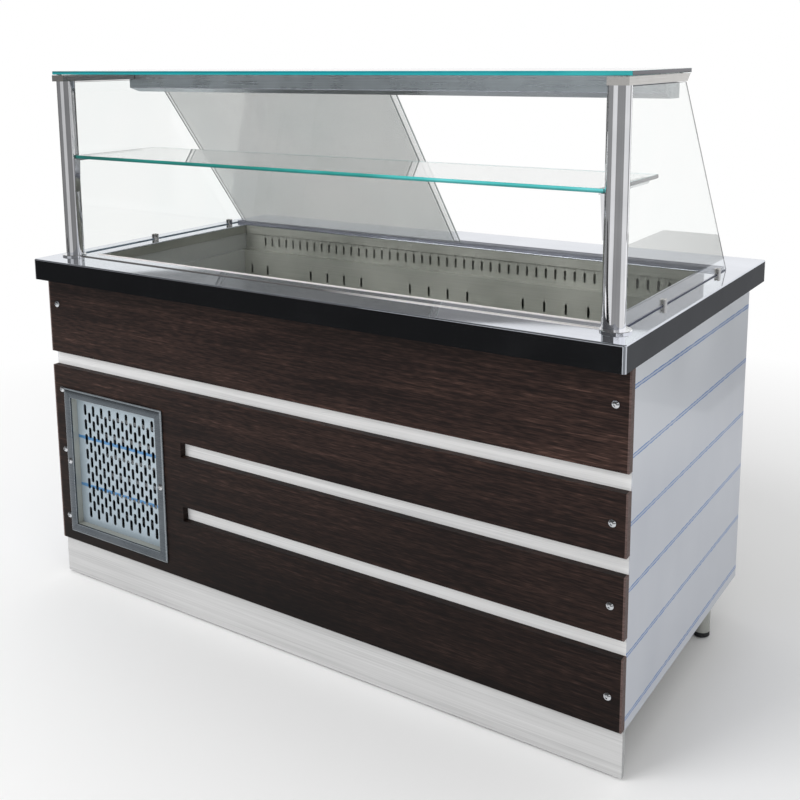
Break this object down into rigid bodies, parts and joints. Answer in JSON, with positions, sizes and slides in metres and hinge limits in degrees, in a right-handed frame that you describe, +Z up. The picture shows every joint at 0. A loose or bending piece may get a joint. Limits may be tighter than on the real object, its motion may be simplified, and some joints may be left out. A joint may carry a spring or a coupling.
{
  "type": "refrigerated salad bar",
  "caption": "Long refrigerated salad bar: steel worktop with a sunken cooled well, tiered glass food shield with sliding rear panes, dark wood-grain front panels and an air grille.",
  "frame": {"origin": "on the floor, under the middle of the worktop", "axes": "+X along the counter to the right end as a guest sees it, +Y from the serving front to the staff side, +Z up"},
  "size_m": [1.5, 0.88, 1.278],
  "materials": {
    "polished_steel": "polished",
    "satin_steel": "satin",
    "filmed_steel": "satin",
    "housing_steel": "satin",
    "grille_steel": "satin",
    "dark_wood": "satin",
    "pale_wood": "satin",
    "clear_glass": "gloss",
    "dark_aluminium": "satin",
    "chrome": "polished",
    "foam": "matte",
    "fin_aluminium": "satin",
    "black_paint": "satin",
    "black_plastic": "matte",
    "green_plastic": "gloss",
    "ivory_plastic": "gloss",
    "brass": "satin",
    "red_lever": "gloss",
    "lamp": "gloss"
  },
  "bodies": {
    "counter": {"worktop": "polished_steel", "well_tub": "satin_steel", "rear_air_panel": "satin_steel", "front_air_panel": "satin_steel", "left_well_wall": "satin_steel", "right_well_wall": "satin_steel", "well_insulation": "foam", "evaporator_coil": "fin_aluminium", "drain_valve": "brass", "compressor": "black_paint", "condenser_coil": "fin_aluminium", "fan_shroud": "black_paint", "fan_motor": "black_paint", "base_frame": "satin_steel", "base_floor": "satin_steel", "partition": "satin_steel", "service_panel": "satin_steel", "rear_panel": "satin_steel", "door_hinges": "satin_steel", "control_panel": "satin_steel", "thermostat": "black_plastic", "switch_frames": "black_plastic", "left_post": "polished_steel", "right_post": "polished_steel", "top_arms": "polished_steel", "top_glass": "clear_glass", "light_housing": "housing_steel", "light_tube": "lamp", "mid_shelf": "clear_glass", "shelf_brackets": "polished_steel", "left_side_glass": "clear_glass", "right_side_glass": "clear_glass", "side_glass_clamps": "polished_steel", "bottom_track": "dark_aluminium", "top_track": "dark_aluminium", "backing_board": "pale_wood", "upper_front_panel": "dark_wood", "lower_front_panel": "dark_wood", "plinth_board": "pale_wood", "front_screws": "chrome", "grille_frame": "grille_steel", "grille_sheet": "grille_steel", "left_side_panel": "filmed_steel", "right_side_panel": "filmed_steel"},
    "well_floor": {"well_floor": "satin_steel"},
    "evaporator_fan": {"evaporator_fan": "fin_aluminium"},
    "condenser_fan": {"condenser_fan": "black_plastic"},
    "drain_lever": {"drain_lever": "red_lever"},
    "left_door": {"left_door": "satin_steel"},
    "right_door": {"right_door": "satin_steel"},
    "up_button": {"up_button": "black_plastic"},
    "down_button": {"down_button": "black_plastic"},
    "power_switch": {"power_switch": "green_plastic"},
    "light_switch": {"light_switch": "ivory_plastic"},
    "front_pane": {"front_pane": "clear_glass"},
    "rear_pane": {"rear_pane": "clear_glass"},
    "front_left_foot": {"front_left_foot": "black_plastic"},
    "front_right_foot": {"front_right_foot": "black_plastic"},
    "rear_left_foot": {"rear_left_foot": "black_plastic"},
    "rear_right_foot": {"rear_right_foot": "black_plastic"}
  },
  "joints": [
    {"name": "rear_pane_slide", "type": "slide", "parent": "counter", "child": "rear_pane", "axis": [1, 0, 0], "range_m": [0, 0.674]},
    {"name": "front_pane_slide", "type": "slide", "parent": "counter", "child": "front_pane", "axis": [1, 0, 0], "range_m": [0, 0.649]},
    {"name": "well_floor_lift", "type": "slide", "parent": "counter", "child": "well_floor", "axis": [0, 0, 1], "range_m": [0, 0.23]},
    {"name": "left_door_hinge", "type": "hinge", "parent": "counter", "child": "left_door", "pos_m": [-0.3408, 0.308, 0.3], "axis": [0, 0, 1], "range_deg": [0, 100]},
    {"name": "right_door_hinge", "type": "hinge", "parent": "counter", "child": "right_door", "pos_m": [0.7288, 0.308, 0.3], "axis": [0, 0, -1], "range_deg": [0, 100]},
    {"name": "condenser_fan_spin", "type": "hinge", "parent": "counter", "child": "condenser_fan", "pos_m": [-0.5435, -0.262, 0.3002], "axis": [0, 1, 0], "continuous": true},
    {"name": "evaporator_fan_spin", "type": "hinge", "parent": "counter", "child": "evaporator_fan", "pos_m": [0, 0.1088, 0.562], "axis": [1, 0, 0], "continuous": true},
    {"name": "drain_lever_turn", "type": "hinge", "parent": "counter", "child": "drain_lever", "pos_m": [0.6252, -0.2462, 0.4288], "axis": [-1, 0, 0], "range_deg": [0, 90]},
    {"name": "up_button_press", "type": "slide", "parent": "counter", "child": "up_button", "axis": [0, -1, 0], "range_m": [0, 0.001], "stiffness_N_per_m": 400},
    {"name": "down_button_press", "type": "slide", "parent": "counter", "child": "down_button", "axis": [0, -1, 0], "range_m": [0, 0.001], "stiffness_N_per_m": 400},
    {"name": "power_switch_rock", "type": "hinge", "parent": "counter", "child": "power_switch", "pos_m": [-0.5068, 0.318, 0.4333], "axis": [-1, 0, 0], "range_deg": [0, 16]},
    {"name": "light_switch_rock", "type": "hinge", "parent": "counter", "child": "light_switch", "pos_m": [-0.4468, 0.318, 0.4333], "axis": [-1, 0, 0], "range_deg": [0, 16]},
    {"name": "front_left_foot_level", "type": "slide", "parent": "counter", "child": "front_left_foot", "axis": [0, 0, -1], "range_m": [0, 0.02]},
    {"name": "front_right_foot_level", "type": "slide", "parent": "counter", "child": "front_right_foot", "axis": [0, 0, -1], "range_m": [0, 0.02]},
    {"name": "rear_left_foot_level", "type": "slide", "parent": "counter", "child": "rear_left_foot", "axis": [0, 0, -1], "range_m": [0, 0.02]},
    {"name": "rear_right_foot_level", "type": "slide", "parent": "counter", "child": "rear_right_foot", "axis": [0, 0, -1], "range_m": [0, 0.02]}
  ]
}
